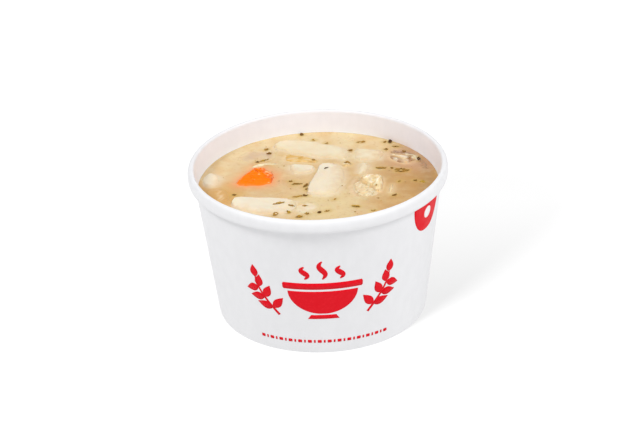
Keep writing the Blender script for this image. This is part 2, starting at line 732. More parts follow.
@dataclass(frozen=True)
class BoiledCarrot(Filmed):
    """Boiled carrot: bright orange on the cut face, redder on the sides that turn away."""

    flesh: tuple = srgb(250, 120, 0)
    deep: tuple = srgb(226, 78, 4)
    light: tuple = srgb(255, 206, 150)
    crevice: tuple = srgb(176, 62, 8)

    def bare(self, g: Graph) -> bpy.types.NodeSocket:
        """Orange with redder sides, dark crevices and a few pale fibres."""
        tone = g.mix(g.attribute("deep"), self.flesh, self.deep)
        tone = g.mix(g.attribute("crevice"), tone, self.crevice)
        fibres = g.ranged(g.grain(0.7 * MM, 3.0, (2.4, 1, 1), 0.5), 0.55, 0.78, 0.0, 0.5)
        tone = g.mix(fibres, tone, self.deep)
        return g.mix(g.attribute("light"), tone, self.light)


@dataclass(frozen=True)
class PoachedChicken(Filmed):
    """Poached chicken: pale fibres with darker, golden gaps between them."""

    flesh: tuple = srgb(241, 227, 192)
    gap: tuple = srgb(218, 172, 92)
    pink: tuple = srgb(226, 192, 160)
    dark: tuple = srgb(166, 126, 104)
    light: tuple = srgb(253, 245, 222)

    def bare(self, g: Graph) -> bpy.types.NodeSocket:
        """Pale on the crests, golden in the gaps, with pink and dark meat where painted."""
        tone = g.mix(g.attribute("gap"), self.flesh, self.gap)
        blotch = g.ranged(g.grain(1.4 * MM, 3.0), 0.45, 0.7, 0.0, 0.4)
        tone = g.mix(blotch, tone, self.gap)
        tone = g.mix(g.attribute("pink"), tone, self.pink)
        tone = g.mix(g.attribute("dark"), tone, self.dark)
        return g.mix(g.attribute("light"), tone, self.light)

    def height(self, g: Graph) -> bpy.types.NodeSocket:
        """Fine fibres."""
        return g.grain(0.4 * MM, 3.0, (4, 1, 1), 0.6)


@dataclass(frozen=True)
class DriedHerb(Finish):
    """Soaked dried herbs, from yellow-green through brown-green to nearly black."""

    green: tuple = srgb(208, 172, 60)
    brown: tuple = srgb(172, 128, 56)
    dark: tuple = srgb(86, 52, 22)

    def colour(self, g: Graph) -> bpy.types.NodeSocket:
        """A tone for each flake, darker along its veins."""
        tone = g.mix(g.ranged(g.attribute("tone"), 0.0, 0.5), self.green, self.brown)
        tone = g.mix(g.ranged(g.attribute("tone"), 0.5, 1.0), tone, self.dark)
        return g.mix(g.ranged(g.grain(0.35 * MM, 2.0), 0.4, 0.7, 0.0, 0.15), tone, self.dark)


PAPER = CoatedPaper(Slot.PAPER, roughness=0.42, specular=0.3, bump=0.15, bump_depth=0.03 * MM)
INK = RedInk(Slot.PRINT, roughness=0.5, specular=0.1)
CLEAR = WhiteInk(Slot.PRINT, roughness=0.42, specular=0.3)
BROTH = CloudyBroth(Slot.BROTH, roughness=0.2, specular=0.25, scatter=0.2, scatter_depth=0.8 * MM, bump=0.1,
                    bump_depth=0.1 * MM)
NOODLE = BoiledNoodle(Slot.NOODLE, roughness=0.34, specular=0.25, coat=0.06, scatter=0.3, scatter_depth=0.8 * MM,
                      bump=0.05)
CARROT = BoiledCarrot(Slot.CARROT, roughness=0.3, specular=0.08, scatter=0.15, scatter_depth=0.6 * MM,
                      scatter_tint=(1.0, 0.35, 0.1))
CHICKEN = PoachedChicken(Slot.CHICKEN, roughness=0.34, specular=0.3, coat=0.1, scatter=0.25, bump=0.3,
                         bump_depth=0.1 * MM)
HERB = DriedHerb(Slot.HERB, roughness=0.5, specular=0.15, bump=0.4, bump_depth=0.08 * MM)


class Wardrobe:
    """Builds each finish once and dresses the pieces in them."""

    def __init__(self) -> None:
        """Build the shared tint and start with no materials."""
        tint_group()
        self.made: dict[type, bpy.types.Material] = {}

    def material(self, finish: Finish) -> bpy.types.Material:
        """Return the material of a finish."""
        if type(finish) not in self.made:
            self.made[type(finish)] = finish.material()
        return self.made[type(finish)]

    def show(self, name: str, mesh: bpy.types.Mesh, finish: Finish, *stands_for: str) -> bpy.types.Object:
        """Add a finished mesh to the object.

        Args:
            name: the piece's name.
            mesh: its closed mesh, in place.
            finish: its finish.
            stands_for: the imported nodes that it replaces.

        Returns:
            The piece, which rides on the cup.
        """
        mesh.name = name
        outward(mesh)
        mesh.materials.clear()
        mesh.materials.append(self.material(finish))
        piece = linked(name, mesh)
        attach(piece, BODY)
        if stands_for:
            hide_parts(*stands_for)
        log.info("%s: %d faces", name, len(mesh.polygons))
        return piece


# ---------------------------------------------------------------------- cup
@dataclass
class PaperCup:
    """The wound wall with its rolled rim and lapped seam, and the recessed base."""

    roll_width: float = 1.75 * MM
    roll_height: float = 2.65 * MM
    lip_width: float = 0.83 * MM
    lip_height: float = 1.3 * MM
    roll_steps: int = 28
    lip_steps: int = 12
    square_below: float = 3.0
    square_above: float = 2.5
    crease: float = 0.8 * MM
    around: int = 300
    seam_width: float = 7.0 * MM
    seam_step: float = 0.3 * MM
    seam_edge: float = 0.12 * MM
    gap: float = 0.3 * MM
    skirt_end: float = 1.4 * MM
    fold_top: float = 4.9 * MM
    edge_round: float = 0.3 * MM

    def roll_point(self, degrees: float) -> tuple[float, float]:
        """Return the radius and height of the roll's surface at an angle from straight out, squarer below."""
        turn = math.radians(degrees)
        outer = degrees <= 90
        width = self.roll_width if outer else self.lip_width
        height = self.roll_height if outer else self.lip_height
        power = 2 / (self.square_below if degrees < 0 else self.square_above) if outer else 1.0
        across = math.copysign(abs(math.cos(turn)) ** power, math.cos(turn))
        up = math.copysign(abs(math.sin(turn)) ** power, math.sin(turn))
        return RIM_RADIUS - self.roll_width + width * across, CUP_HEIGHT + height * (up - 1)

    def wall_section(self) -> list[tuple]:
        """Return the wall's section as radius, height, outer, inside, wet and raw, once round."""
        roll = [(*self.roll_point(degrees), 0, 0, 0, 0) for degrees in np.linspace(-100, 90, self.roll_steps)]
        roll += [
            (*self.roll_point(degrees), 0, (degrees - 90) / 90, 0, 0)
            for degrees in np.linspace(90, 180, self.lip_steps)[1:]
        ]
        tuck = self.roll_point(-100)
        crease = (wall_radius(tuck[1] + self.crease) + 0.02 * MM, tuck[1] + self.crease, 0, 0, 0, 0)
        inner_heights = np.linspace(roll[-1][1] - 0.6 * MM, BASE_TOP, 40)
        wet = 1 - smooth_step(inner_heights, BROTH_LEVEL + 1.0 * MM, BROTH_LEVEL + 2.8 * MM)
        inner = [(wall_radius(z) - WALL_BOARD, z, 0, 1, share, 0) for z, share in zip(inner_heights, wet)]
        pocket = self.skirt_end - self.gap
        room = WALL_BOARD + self.gap + BASE_BOARD + self.gap
        soft = self.edge_round
        fold = [
            (wall_radius(pocket) - WALL_BOARD, pocket, 0, 0, 0, 1),
            (wall_radius(pocket) - room, pocket, 0, 0, 0, 1),
            (wall_radius(self.fold_top) - room, self.fold_top, 0, 0, 0, 1),
            (wall_radius(self.fold_top) - room - WALL_BOARD, self.fold_top, 0, 0, 0, 1),
            (wall_radius(self.fold_top - soft) - room - WALL_BOARD, self.fold_top - soft, 0, 0, 0, 0),
        ]
        foot_inner = wall_radius(soft) - room - WALL_BOARD
        foot = [
            (foot_inner + soft * (1 - math.cos(turn)), soft * (1 - math.sin(turn)), 0, 0, 0, 0)
            for turn in np.linspace(0, math.pi / 2, 5)
        ]
        foot += [
            (wall_radius(0) - soft * (1 - math.sin(turn)), soft * (1 - math.cos(turn)), float(turn > 0.8), 0, 0, 0)
            for turn in np.linspace(0, math.pi / 2, 5)
        ]
        outer_heights = np.linspace(2 * soft, tuck[1], 24)
        outer = [(wall_radius(z), z, 1, 0, 0, 0) for z in outer_heights]
        return [*roll, *inner, *fold, *foot, *outer, crease, roll[0]]

    def base_section(self) -> list[tuple]:
        """Return the base's section from the middle of its upper face to the middle below."""
        outer = WALL_BOARD + self.gap
        inner = outer + BASE_BOARD
        soft = 0.8 * MM
        under = BASE_TOP - BASE_BOARD
        corner = wall_radius(BASE_TOP) - outer - soft
        upper = [(share * corner, BASE_TOP, 0, 1, 0, 0) for share in np.linspace(0, 1, 12)]
        bend = [
            (corner + soft * math.sin(turn), BASE_TOP - soft * (1 - math.cos(turn)), 0, 1, 0, 0)
            for turn in np.linspace(0.3, math.pi / 2, 5)
        ]
        skirt = [
            (wall_radius(self.skirt_end) - outer, self.skirt_end, 0, 0, 0, 1),
            (wall_radius(self.skirt_end) - inner, self.skirt_end, 0, 0, 0, 1),
            (wall_radius(under - self.gap) - inner, under - self.gap, 0, 0, 0, 0),
            (wall_radius(under) - inner - self.gap, under, 0, 0, 0, 0),
        ]
        last = skirt[-1][0]
        lower = [(share * last, under, 0, 0, 0, 0) for share in np.linspace(0.92, 0, 12)]
        return [*upper, *bend, *skirt, *lower]

    def stations(self) -> list[tuple[float, float]]:
        """Return the angles round the cup, and how far the lapped layer stands out at each.

        The layer's cut edge is a crisp step, and its far side runs out slowly.
        """
        half = self.seam_width / NECK_RADIUS / 2
        edge = self.seam_edge / NECK_RADIUS
        middle = math.pi / 2
        even = [(math.tau * step / self.around, 0.0) for step in range(self.around + 1)]
        clear = [(angle, lap) for angle, lap in even if abs(angle - middle) > half + edge]
        ramp = [
            (middle - half + 2 * half * share, float(smooth_step(np.array(share), 0.0, 0.8)))
            for share in np.linspace(0, 1, 9)
        ]
        return sorted([*clear, *ramp, (middle + half + edge, 0.0)])

    def section_mesh(self, name: str, section: list[tuple]) -> bpy.types.Mesh:
        """Make a section's vertices with its painted numbers."""
        mesh = mesh_of(name, [(row[0], 0, row[1]) for row in section], [])
        for column, label in enumerate(("outer", "inside", "wet", "raw"), start=2):
            paint(mesh, label, np.array([row[column] for row in section]))
        return mesh

    def build(self, wardrobe: Wardrobe) -> None:
        """Turn the wall and the base."""
        ring = linked("ring", mesh_of("ring", [(angle, lap, 0) for angle, lap in self.stations()], []))
        tree = turned_tree()
        parts = (("paper_wall", self.wall_section(), "cup_wall"), ("paper_base", self.base_section(), "cup_base"))
        for name, section, node in parts:
            blank = self.section_mesh(name, section)
            step = self.seam_step if node == "cup_wall" else 0.0
            mesh = grown(tree, blank, ring=ring, lap_step=step, finish=wardrobe.material(PAPER))
            piece = wardrobe.show(name, mesh, PAPER, node)
            piece.data.set_sharp_from_angle(angle=PROFILE_ANGLE)
        bpy.data.objects.remove(ring, do_unlink=True)


# -------------------------------------------------------------------- print
@dataclass
class FlatArt:
    """Flat artwork made of strips, in millimetres along the wall and up it."""

    ink_depth: float = 0.03 * MM
    slice_width: float = 1.2 * MM

    def __post_init__(self) -> None:
        """Start with an empty sheet."""
        self.bm = bmesh.new()

    def strip(self, lefts: list[tuple], rights: list[tuple]) -> None:
        """Add a shape between two edges that run side by side."""
        rows = [
            [self.bm.verts.new((x * MM, y * MM, 0)) for x, y in pair]
            for pair in zip(lefts, rights)
        ]
        for (a, b), (c, d) in zip(rows, rows[1:]):
            self.bm.faces.new((a, b, d, c))

    def ribbon(self, path: list[tuple], widths: list[float]) -> None:
        """Add a line of changing width along a path."""
        places = [Vector(point) for point in path]
        lefts, rights = [], []
        ends = zip([places[0], *places[:-1]], places, [*places[1:], places[-1]], widths)
        for before, here, after, width in ends:
            along = (after - before).normalized()
            side = Vector((-along.y, along.x)) * width / 2
            lefts.append(tuple(here + side))
            rights.append(tuple(here - side))
        self.strip(lefts, rights)

    def leaf(self, x: float, y: float, heading: float, length: float, width: float) -> None:
        """Add a pointed leaf that grows from a place in a direction given in degrees."""
        turn = math.radians(heading)
        ahead = Vector((math.cos(turn), math.sin(turn)))
        shares = np.linspace(0, 1, 9)
        path = [tuple(Vector((x, y)) + ahead * length * share) for share in shares]
        widths = [max(0.08, width * math.sin(math.pi * share ** 0.8)) for share in shares]
        self.ribbon(path, widths)

    def disc(self, x: float, y: float, radius: float) -> None:
        """Add a round spot."""
        turns = np.linspace(-math.pi / 2, math.pi / 2, 17)
        half = [max(math.cos(turn), 0.01) * radius for turn in turns]
        heights = [y + math.sin(turn) * radius for turn in turns]
        self.strip([(x - w, h) for w, h in zip(half, heights)], [(x + w, h) for w, h in zip(half, heights)])

    def mesh(self, name: str) -> bpy.types.Mesh:
        """Slice the sheet so that it can bend, give it the ink's depth and close it."""
        spread = [vert.co.x for vert in self.bm.verts]
        for place in np.arange(min(spread), max(spread), self.slice_width)[1:]:
            everything = self.bm.verts[:] + self.bm.edges[:] + self.bm.faces[:]
            bmesh.ops.bisect_plane(self.bm, geom=everything, plane_co=(place, 0, 0), plane_no=(1, 0, 0), dist=WELD)
        raised = bmesh.ops.extrude_face_region(self.bm, geom=self.bm.faces[:], use_keep_orig=True)
        for vert in raised["geom"]:
            if isinstance(vert, bmesh.types.BMVert):
                vert.co.z += self.ink_depth
        bmesh.ops.recalc_face_normals(self.bm, faces=self.bm.faces)
        made = bpy.data.meshes.new(name)
        self.bm.to_mesh(made)
        self.bm.free()
        return made


@dataclass
class WallPrint:
    """The red print: a bowl between two sprigs, a row of dashes near the foot and a round tab."""

    lift: float = 0.02 * MM
    foot_line: float = 5.3
    tab_angle: float = 59.8
    tab_top: float = 54.0
    tab_depth: float = 12.6
    tab_half: float = 8.8

    def middle_radius(self) -> float:
        """Return the radius at which the artwork's lengths are true."""
        return wall_radius(BROTH_LEVEL / 2)

    def bowl(self, art: FlatArt) -> None:
        """Draw the bowl with its lip, foot and steam."""
        turns = np.linspace(0.0, math.pi / 2 * 0.93, 16)
        half = [13.0 * math.cos(turn) for turn in turns]
        heights = [27.9 - 10.0 * math.sin(turn) for turn in turns]
        art.strip([(-w, h) for w, h in zip(half, heights)], [(w, h) for w, h in zip(half, heights)])
        art.strip([(-4.8, 17.4), (-6.0, 15.6)], [(4.8, 17.4), (6.0, 15.6)])
        art.ribbon([(-14.8, 30.2), (-14.4, 30.2), (14.4, 30.2), (14.8, 30.2)], [1.6, 2.8, 2.8, 1.6])
        for middle, low, high in ((-6.4, 33.4, 38.8), (0.0, 33.4, 41.2), (6.4, 33.4, 38.8)):
            shares = np.linspace(0, 1, 15)
            path = [(middle + 1.1 * math.sin(math.tau * s), low + (high - low) * s) for s in shares]
            art.ribbon(path, [0.5 + 1.7 * math.sin(math.pi * s) for s in shares])

    def sprig(self, art: FlatArt, side: int) -> None:
        """Draw the sprig on one side of the bowl: a bowed stem with leaves on both sides."""
        shares = np.linspace(0, 1, 12)
        stem = [(side * (17.0 + 8.6 * math.sin(s * 1.5)), 16.4 + 15.0 * s) for s in shares]
        art.ribbon(stem, [1.1 - 0.4 * s for s in shares])
        for step in range(3):
            x, y = stem[3 * step + 2]
            lean = 72 - 16 * step
            for offset in (-58, 58):
                heading = lean + offset
                art.leaf(x, y, heading if side > 0 else 180 - heading, 6.6 - 0.5 * step, 3.4)
        art.leaf(*stem[-1], 84 if side > 0 else 96, 5.4, 3.2)

    def build(self, wardrobe: Wardrobe) -> None:
        """Print everything on the wall."""
        tree = print_tree()
        slope = (NECK_RADIUS - FOOT_RADIUS) / NECK_HEIGHT
        common = {
            "foot_radius": FOOT_RADIUS + self.lift,
            "slope": slope,
            "middle_radius": self.middle_radius(),
            "every_second": 1.0,
        }

        def printed(name: str, art: FlatArt, finish: Finish, count: int = 1, **changes: float) -> None:
            """Wrap one sheet of artwork and show it."""
            values = common | {"count": count, "pitch": 0.0, "finish": wardrobe.material(finish)} | changes
            wardrobe.show(name, grown(tree, art.mesh(name), **values), finish)

        motif = FlatArt()
        self.bowl(motif)
        for side in (-1, 1):
            self.sprig(motif, side)
        printed("print_motif", motif, INK)
        dash = FlatArt()
        y = self.foot_line
        dash.ribbon([(-0.8, y), (-0.62, y), (0.62, y), (0.8, y)], [0.9, 1.3, 1.3, 0.9])
        printed("print_dashes", dash, INK, 27, pitch=1.95 * MM, every_second=0.45)
        tab = FlatArt()
        centre = math.radians(self.tab_angle) * self.middle_radius() / MM
        turns = np.linspace(0, math.pi / 2 * 0.97, 18)
        half = [self.tab_half * math.cos(turn) ** 0.8 for turn in turns]
        heights = [self.tab_top - self.tab_depth * math.sin(turn) for turn in turns]
        tab.strip([(centre - w, h) for w, h in zip(half, heights)], [(centre + w, h) for w, h in zip(half, heights)])
        printed("print_tab", tab, INK)
        dot = FlatArt()
        dot.disc(centre, self.tab_top - 5.4, 2.3)
        printed("print_tab_dot", dot, CLEAR, foot_radius=FOOT_RADIUS + self.lift * 2)


# --------------------------------------------------------------------- food
def broth_height(places: np.ndarray) -> np.ndarray:
    """Return the height of the open broth at places in the plan, with its gentle swell."""
    x, y = places[:, 0], places[:, 1]
    length = 17 * MM
    swell = 0.1 * MM * np.sin(math.tau * x / length) * np.cos(math.tau * y / length + 1)
    reach = wall_radius(BROTH_LEVEL) * 0.83
    return BROTH_LEVEL + swell * (1 - smooth_step(np.hypot(x, y), reach * 0.9, reach))


def rim_of(places: np.ndarray, facing: np.ndarray) -> tuple[np.ndarray, np.ndarray]:
    """Measure how far each vertex of a flat-topped piece is from its outline, in the plan.

    Args:
        places: the vertices.
        facing: their normals.

    Returns:
        The distances, and the outward direction of the nearest part of the outline.
    """
    sides = np.flatnonzero((np.abs(facing[:, 2]) < 0.35) & (places[:, 2] > BROTH_LEVEL - 1.2 * MM))
    tree = KDTree(len(sides))
    for index in sides:
        tree.insert((places[index][0], places[index][1], 0), int(index))
    tree.balance()
    found = [tree.find((x, y, 0)) for x, y, _z in places]
    far = np.array([hit[2] for hit in found])
    outward_way = facing[[hit[1] for hit in found]][:, :2]
    outward_way /= np.maximum(np.linalg.norm(outward_way, axis=1), 1e-9)[:, None]
    return far, outward_way


@dataclass(frozen=True)
class Lie:
    """How a piece lies in the broth.

    Attributes:
        sinks: the directions in the plan in which its edge sinks softly, with the softness as length.
        reach: how far the broth creeps in over the softest edge.
        cover: the share of broth that films the whole piece.
    """

    sinks: tuple = ()
    reach: float = 2.5 * MM
    cover: float = 0.05

    def softness(self, outward_way: np.ndarray) -> np.ndarray:
        """Return how softly the edge sinks, from 0 to 1, where it faces each direction."""
        shares = [np.clip(outward_way @ np.array(way), 0, 1) for way in self.sinks]
        return np.max([np.zeros(len(outward_way)), *shares], axis=0)


def settle(mesh: bpy.types.Mesh, lie: Lie, shoulder: float, seed: int) -> None:
    """Round a piece's shoulders down into the broth and paint the film that covers it.

    Args:
        mesh: the piece, in place.
        lie: how it lies.
        shoulder: the width over which its crispest edge rounds off.
        seed: picks the unevenness of the film.
    """
    places, facing = positions(mesh), normals(mesh)
    far, outward_way = rim_of(places, facing)
    soft = lie.softness(outward_way)
    width = shoulder + 0.9 * lie.reach * soft
    rise = np.sqrt(1 - (1 - np.clip(far / width, 0, 1)) ** 2)
    level = broth_height(places) - 0.08 * MM
    over = places[:, 2] > level
    places[over, 2] = (level + (places[:, 2] - level) * rise)[over]
    move_to(mesh, places)
    wander = relief(places, (2.4 * MM,) * 3, seed) + 0.4 * relief(places, (0.8 * MM,) * 3, seed + 1)
    reach = 0.16 * MM + lie.reach * soft * np.clip(1 + 0.5 * wander, 0.4, 1.6)
    film = (0.25 + 0.35 * soft) * np.exp(-((far / reach) ** 1.5))
    paint(mesh, "film", np.clip(film + lie.cover * (1 + wander), 0, 1))
    paint(mesh, "soft", soft)


@dataclass(frozen=True)
class NoodleLook:
    """One broad noodle: its node, how it lies, and how dull it is."""

    node: str
    lie: Lie
    dim: float = 0.0


NOODLES = (
    NoodleLook("noodle_back", Lie(((0.2, 0.6), (0.9, 0.1), (-0.3, -0.45)), 2.6 * MM, 0.12), 0.5),
    NoodleLook("noodle_right", Lie(((0.9, 0.3), (0.2, -0.8), (-0.6, 0.2)), 3.0 * MM, 0.2), 0.35),
    NoodleLook("noodle_small", Lie(((-0.9, -0.2), (0.0, -0.7)), 2.0 * MM, 0.10), 0.15),
    NoodleLook("noodle_centre", Lie(((0.95, 0.0), (0.3, -0.6)), 3.6 * MM, 0.06), 0.1),
    NoodleLook("noodle_sliver", Lie(((0.8, -0.5), (-0.8, 0.3)), 1.4 * MM, 0.15), 0.25),
    NoodleLook("noodle_left", Lie(((0.9, -0.3), (0.0, -0.7)), 1.8 * MM, 0.08), 0.1),
    NoodleLook("noodle_front", Lie(((0.95, -0.2), (0.2, -0.95)), 2.8 * MM, 0.04), 0.0),
)


@dataclass
class Noodles:
    """The seven broad noodles."""

    cell: float = 0.22 * MM
    shoulder: float = 0.45 * MM

    def carve(self, look: NoodleLook, seed: int) -> bpy.types.Mesh:
        """Carve one noodle: uneven edges, a slack surface, and shoulders that sink into the broth."""
        mesh = fine_copy(look.node, self.cell, 6)
        places, facing = positions(mesh), normals(mesh)
        side = 1 - np.abs(facing[:, 2])
        slack = relief(places, (7 * MM,) * 3, seed) * 0.12 * MM
        dimple = relief(places, (1.8 * MM,) * 3, seed + 1) * 0.015 * MM
        edge = relief(places, (3.5 * MM,) * 3, seed + 2) * 0.25 * MM * side
        rough = relief(places, (0.9 * MM,) * 3, seed + 3) * 0.06 * MM * side
        move_to(mesh, places + facing * (slack + dimple + edge + rough)[:, None])
        settle(mesh, look.lie, self.shoulder, seed + 4)
        paint(mesh, "dim", np.full(len(places), look.dim))
        return mesh

    def build(self, wardrobe: Wardrobe) -> list[bpy.types.Object]:
        """Carve and show every noodle."""
        return [
            wardrobe.show(f"boiled_{look.node}", self.carve(look, 10 * index), NOODLE, look.node)
            for index, look in enumerate(NOODLES)
        ]


@dataclass
class Carrot:
    """The chunk of boiled carrot, cut to a few flat faces and worn on the side away from its cut face."""

    cell: float = 0.2 * MM
    worn_way: tuple = (0.45, 0.75, 0.0)
    cuts: tuple = (
        ((0.03, -0.13, 0.99), 0.65),
        ((0.22, 0.05, 0.97), 1.35),
        ((-0.24, 0.02, 0.97), 1.5),
        ((0.05, 0.42, 0.90), 2.7),
    )

    def build(self, wardrobe: Wardrobe) -> bpy.types.Object:
        """Cut the faces, roughen them along the fibres, and paint the sides deeper."""
        mesh = fine_copy("carrot", self.cell, 3)
        places = positions(mesh)
        middle = np.array([*((places.min(0) + places.max(0)) / 2)[:2], BROTH_LEVEL + 0.7 * MM])
        for way, reach in self.cuts:
            normal = np.array(way) / np.linalg.norm(way)
            over = (places - middle) @ normal - reach * MM
            places -= np.clip(over, 0, None)[:, None] * normal * 0.85
        move_to(mesh, places)
        facing = normals(mesh)
        fibre = relief(places, (2.4 * MM, 0.8 * MM, 0.8 * MM), 3) * 0.08 * MM
        lump = relief(places, (1.8 * MM,) * 3, 4) * 0.12 * MM
        edge = relief(places, (1.6 * MM,) * 3, 6) * 0.6 * MM * (1 - np.abs(facing[:, 2]))
        patch = relief(places, (2.2 * MM,) * 3, 8)
        worn = smooth_step((places - middle) @ np.array(self.worn_way), -1.0 * MM, 3.0 * MM)
        cracks = 1 - smooth_step(np.abs(relief(places, (2.6 * MM, 1.6 * MM, 1.6 * MM), 9)), 0.0, 0.09)
        dent = worn * (0.35 * MM * cracks + 0.25 * MM * patch)
        move_to(mesh, places + facing * (fibre + lump + edge - dent)[:, None])
        places, facing = positions(mesh), normals(mesh)
        away = facing @ np.array((0.75, 0.55, 0.0))
        paint(mesh, "deep", np.clip(smooth_step(away + 0.15 * patch, 0.05, 0.35) * 0.8, 0, 1))
        paint(mesh, "crevice", cracks * worn * 0.7)
        far, _outward_way = rim_of(places, facing)
        glint = relief(places, (1.4 * MM, 0.5 * MM, 0.5 * MM), 5) + 0.45 * worn
        paint(mesh, "light", smooth_step(glint, 0.55, 0.8) * 0.8 * (1 - cracks))
        above = places[:, 2] - BROTH_LEVEL
        film = 0.2 * (1 - smooth_step(above + 0.2 * MM * patch, -0.1 * MM, 0.3 * MM))
        paint(mesh, "film", np.clip(film + 0.2 * np.exp(-far / (0.5 * MM)), 0, 1))
        paint(mesh, "soft", np.full(len(places), 0.8))
        return wardrobe.show("boiled_carrot", mesh, CARROT, "carrot")


@dataclass(frozen=True)
class MeatLook:
    """One piece of chicken: its node, how it lies, its grain's heading and coarseness, and its tones."""

    node: str
    lie: Lie
    grain: float
    fibre: float = 0.2 * MM
    gap: float = 0.6
    pink: float = 0.0
    dark: float = 0.0
    strands: float = 0.6
    light: float = 0.8


MEATS = (
    MeatLook("chicken_chunk", Lie(((-0.8, 0.0),), 1.0 * MM, 0.0), 1.2, 0.3 * MM, 0.55, strands=0.35),
    MeatLook("chicken_flake", Lie(((-0.7, -0.5), (0.5, -0.6)), 1.2 * MM, 0.1), 0.9, 0.18 * MM, 0.35, 0.15),
    MeatLook("chicken_strand", Lie(((0.8, 0.0), (-0.8, 0.0)), 0.7 * MM, 0.05), 1.3, 0.1 * MM, 0.3, strands=0.6),
    MeatLook("chicken_shreds", Lie(((0.9, 0.2), (-0.2, 0.9)), 2.0 * MM, 0.15), -0.35, 0.24 * MM, 0.9, 0.3, 0.8, 1.2),
    MeatLook("chicken_back", Lie(((0.7, 0.0),), 1.4 * MM, 0.05), -0.2, 0.14 * MM, 2.4, 0.0, 0.0, 0.3, 0.15),
    MeatLook("chicken_crumb", Lie(((0.6, 0.3), (-0.7, 0.0)), 1.2 * MM, 0.15), 0.3, 0.12 * MM, 0.9, 0.3, 0.0, 0.4),
)


@dataclass
class Chicken:
    """The pieces of poached chicken and the loose fibres on them."""

    cell: float = 0.18 * MM
    shoulder: float = 0.35 * MM

    def carve(self, look: MeatLook, seed: int) -> bpy.types.Mesh:
        """Carve one piece: furrows along the grain, lumps, and shoulders that sink into the broth."""
        mesh = fine_copy(look.node, self.cell, 3)
        places, facing = positions(mesh), normals(mesh)
        turned = places @ np.array(Matrix.Rotation(look.grain, 3, "Z"))
        furrow = relief(turned, (3.2 * MM, 1.1 * MM, 1.1 * MM), seed)
        thread = relief(turned, (2.2 * MM, 0.45 * MM, 0.5 * MM), seed + 1)
        lump = relief(places, (2.8 * MM,) * 3, seed + 2)
        depth = furrow * look.fibre + thread * look.fibre * 0.3 + lump * look.fibre
        move_to(mesh, places + facing * depth[:, None])
        settle(mesh, look.lie, self.shoulder, seed + 5)
        hollow = smooth_step(-furrow - 0.5 * lump + 0.3 * thread, -0.25, 0.45)
        paint(mesh, "gap", np.clip((0.3 + 0.7 * hollow) * look.gap, 0, 1))
        blotch = smooth_step(relief(places, (3.0 * MM,) * 3, seed + 3), -0.25, 0.25)
        paint(mesh, "pink", look.pink * blotch)
        paint(mesh, "dark", look.dark * (1 - blotch))
        paint(mesh, "light", smooth_step(furrow + 0.6 * thread + 0.3 * lump, 0.3, 0.65) * look.light)
        paint(mesh, "grain", np.full(len(places), look.grain))
        return mesh

    def build(self, wardrobe: Wardrobe) -> list[bpy.types.Object]:
        """Carve and show every piece, then lay fibres on them."""
        shown, strands = [], []
        tree = strand_tree()
        for index, look in enumerate(MEATS):
            mesh = self.carve(look, 100 + 10 * index)
            strands.append(fibres(tree, mesh, look.strands, BROTH_LEVEL + 0.25 * MM, index, wardrobe))
            shown.append(wardrobe.show(f"poached_{look.node}", mesh, CHICKEN, look.node))
        shown.append(wardrobe.show("chicken_fibres", joined_meshes("chicken_fibres", strands), CHICKEN))
        return shown


def fibres(tree: bpy.types.NodeTree, mesh: bpy.types.Mesh, density: float, level: float, seed: int,
           wardrobe: Wardrobe) -> bpy.types.Mesh:
    """Lay loose meat fibres on a piece.

    Args:
        tree: the tree that lays them.
        mesh: the piece, with its "grain" painted on it.
        density: how many lie on each square millimetre.
        level: the height above which they lie.
        seed: picks where they lie.
        wardrobe: gives their material.
    """
    return grown(
        tree, mesh.copy(), density=density / MM ** 2, length=2.4 * MM, thickness=0.12 * MM, level=level,
        seed=seed, finish=wardrobe.material(CHICKEN),
    )


def joined_meshes(name: str, meshes: list[bpy.types.Mesh]) -> bpy.types.Mesh:
    """Join several meshes into one, with what is painted on them."""
    bm = bmesh.new()
    for mesh in meshes:
        bm.from_mesh(mesh)
    made = bpy.data.meshes.new(name)
    bm.to_mesh(made)
    bm.free()
    return made


@dataclass(frozen=True)
class SunkLook:
    """A piece that lies just under the surface and fades into the broth at its edge."""

    name: str
    finish: Finish
    outline: tuple
    grain: float
    cover: float = 0.45
    gap: float = 0.4
    pink: float = 0.0
    dark: float = 0.0
    strands: float = 0.0
    fade: float = 1.5 * MM
    proud: float = 0.1 * MM


